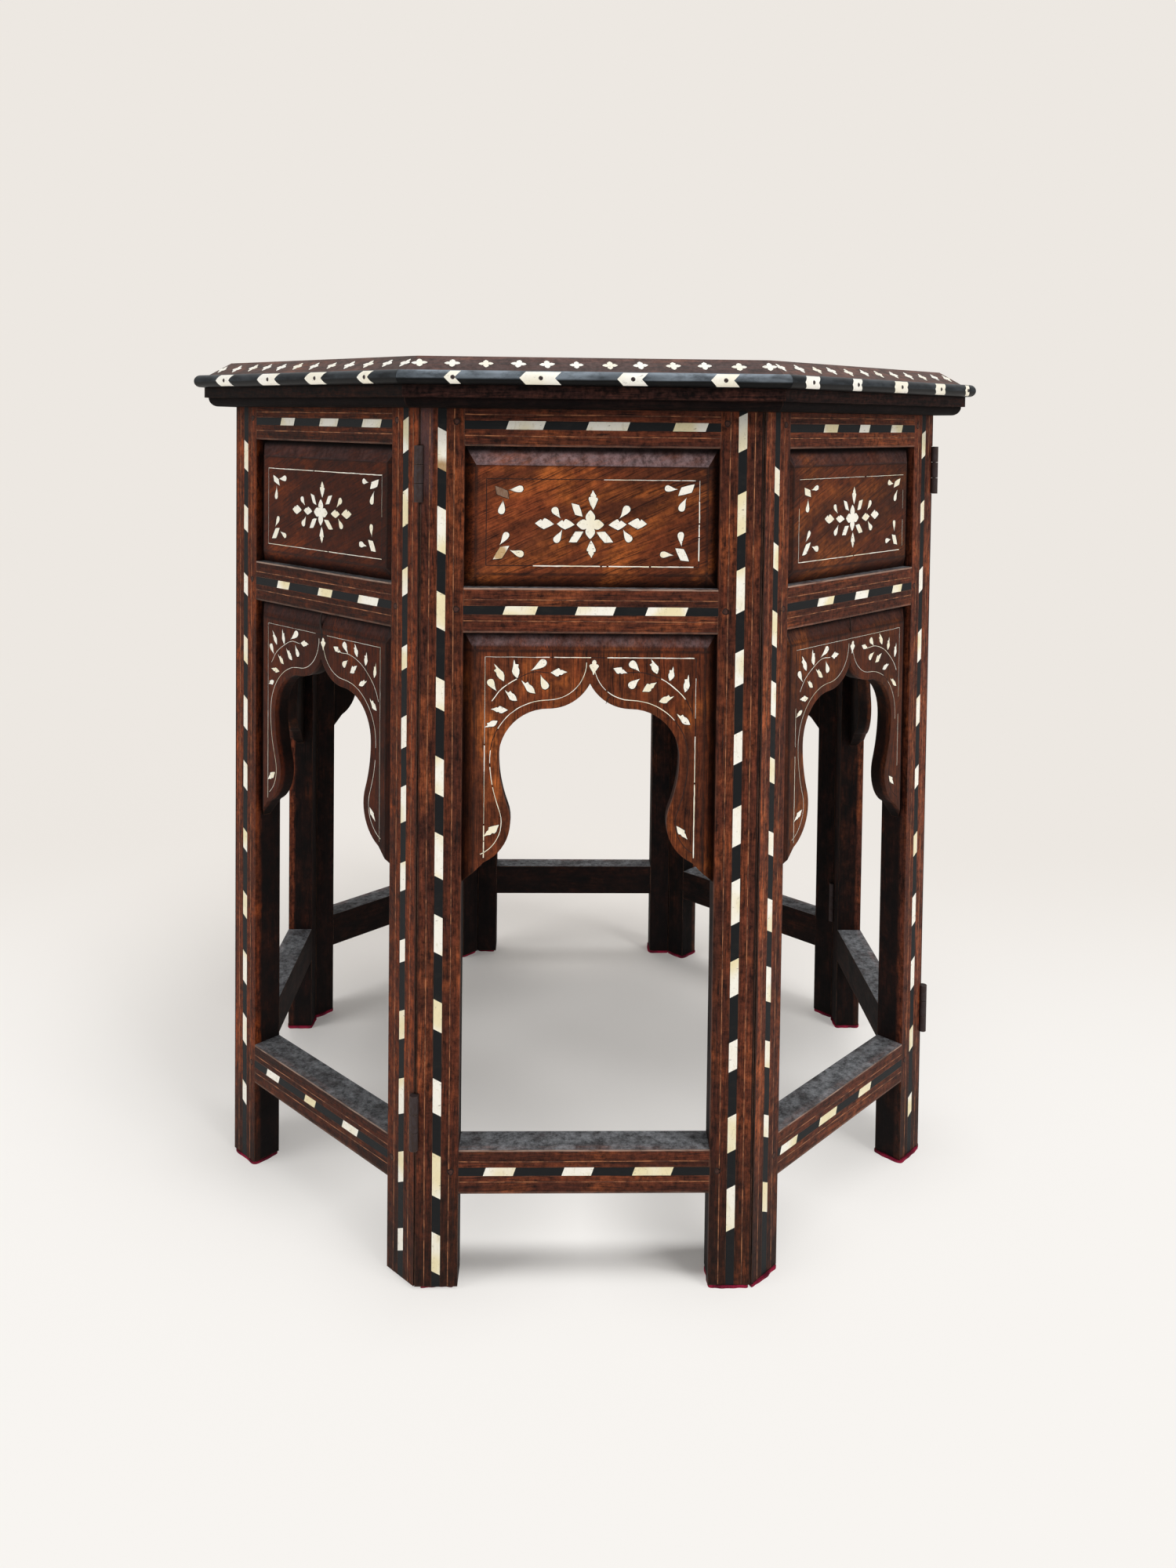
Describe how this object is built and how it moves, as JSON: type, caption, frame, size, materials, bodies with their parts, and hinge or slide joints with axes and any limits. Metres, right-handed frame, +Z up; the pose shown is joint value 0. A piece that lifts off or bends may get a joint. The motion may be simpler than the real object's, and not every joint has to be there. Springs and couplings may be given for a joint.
{
  "type": "octagonal side table",
  "caption": "Octagonal side table: inlaid wooden top with an apron ring, resting on a folding base of hinged, framed panels with ogee arches.",
  "frame": {"origin": "on the floor at the centre of the octagon", "axes": "+Z up, the front panel faces -Y, +X to its right"},
  "size_m": [0.54, 0.54, 0.5561],
  "materials": {
    "frame_wood": "old waxed polish on dark rosewood, worn at the edges",
    "board_wood": "old waxed polish on red-brown rosewood",
    "top_wood": "waxed rosewood, dulled by use",
    "ebony": "polished ebony, satin",
    "bone": "polished bone, yellowed and finely grained",
    "iron": "dark, lightly rusted iron",
    "felt": "faded red felt"
  },
  "bodies": {
    "front": {"front_stiles": "frame_wood", "front_rails": "frame_wood", "front_boards": "board_wood", "front_bone_inlay": "bone", "front_ebony_inlay": "ebony", "front_hinges": "iron", "front_feet": "felt"},
    "front_right": {"front_right_stiles": "frame_wood", "front_right_rails": "frame_wood", "front_right_boards": "board_wood", "front_right_bone_inlay": "bone", "front_right_ebony_inlay": "ebony", "front_right_hinges": "iron", "front_right_feet": "felt"},
    "right": {"right_stiles": "frame_wood", "right_rails": "frame_wood", "right_boards": "board_wood", "right_bone_inlay": "bone", "right_ebony_inlay": "ebony", "right_hinges": "iron", "right_feet": "felt"},
    "back_right": {"back_right_stiles": "frame_wood", "back_right_rails": "frame_wood", "back_right_boards": "board_wood", "back_right_bone_inlay": "bone", "back_right_ebony_inlay": "ebony", "back_right_hinges": "iron", "back_right_feet": "felt"},
    "back": {"back_stiles": "frame_wood", "back_rails": "frame_wood", "back_boards": "board_wood", "back_bone_inlay": "bone", "back_ebony_inlay": "ebony", "back_hinges": "iron", "back_feet": "felt"},
    "back_left": {"back_left_stiles": "frame_wood", "back_left_rails": "frame_wood", "back_left_boards": "board_wood", "back_left_bone_inlay": "bone", "back_left_ebony_inlay": "ebony", "back_left_hinges": "iron", "back_left_feet": "felt"},
    "left": {"left_stiles": "frame_wood", "left_rails": "frame_wood", "left_boards": "board_wood", "left_bone_inlay": "bone", "left_ebony_inlay": "ebony", "left_hinges": "iron", "left_feet": "felt"},
    "front_left": {"front_left_stiles": "frame_wood", "front_left_rails": "frame_wood", "front_left_boards": "board_wood", "front_left_bone_inlay": "bone", "front_left_ebony_inlay": "ebony", "front_left_hinges": "iron", "front_left_feet": "felt"},
    "top": {"top_board": "top_wood", "top_lipping": "ebony", "top_bone_inlay": "bone", "apron_ring": "frame_wood"}
  },
  "joints": [
    {"name": "front_right_fold", "type": "hinge", "parent": "front", "child": "front_right", "pos_m": [0.09246, -0.22323, 0.3], "axis": [0, 0, 1], "range_deg": [0, 125]},
    {"name": "right_fold", "type": "hinge", "parent": "front_right", "child": "right", "pos_m": [0.24494, -0.10146, 0.3], "axis": [0, 0, -1], "range_deg": [0, 208.34]},
    {"name": "back_right_fold", "type": "hinge", "parent": "right", "child": "back_right", "pos_m": [0.22323, 0.09246, 0.3], "axis": [0, 0, 1], "range_deg": [0, 125]},
    {"name": "front_left_fold", "type": "hinge", "parent": "front", "child": "front_left", "pos_m": [-0.10146, -0.24494, 0.3], "axis": [0, 0, 1], "range_deg": [0, 41.67]},
    {"name": "left_fold", "type": "hinge", "parent": "front_left", "child": "left", "pos_m": [-0.22323, -0.09246, 0.3], "axis": [0, 0, -1], "range_deg": [0, 125]},
    {"name": "back_left_fold", "type": "hinge", "parent": "left", "child": "back_left", "pos_m": [-0.24494, 0.10146, 0.3], "axis": [0, 0, 1], "range_deg": [0, 208.34]},
    {"name": "back_fold", "type": "hinge", "parent": "back_left", "child": "back", "pos_m": [-0.09246, 0.22323, 0.3], "axis": [0, 0, -1], "range_deg": [0, 125]},
    {"name": "top_lift", "type": "slide", "parent": "front", "child": "top", "axis": [0, 0, 1], "range_m": [0, 0.12]}
  ],
  "couplings": [
    {"joint": "right_fold", "follows": "front_right_fold", "ratio": 1.6667},
    {"joint": "back_right_fold", "follows": "front_right_fold", "ratio": 1},
    {"joint": "front_left_fold", "follows": "front_right_fold", "ratio": 0.33333},
    {"joint": "left_fold", "follows": "front_right_fold", "ratio": 1},
    {"joint": "back_left_fold", "follows": "front_right_fold", "ratio": 1.6667},
    {"joint": "back_fold", "follows": "front_right_fold", "ratio": 1}
  ]
}
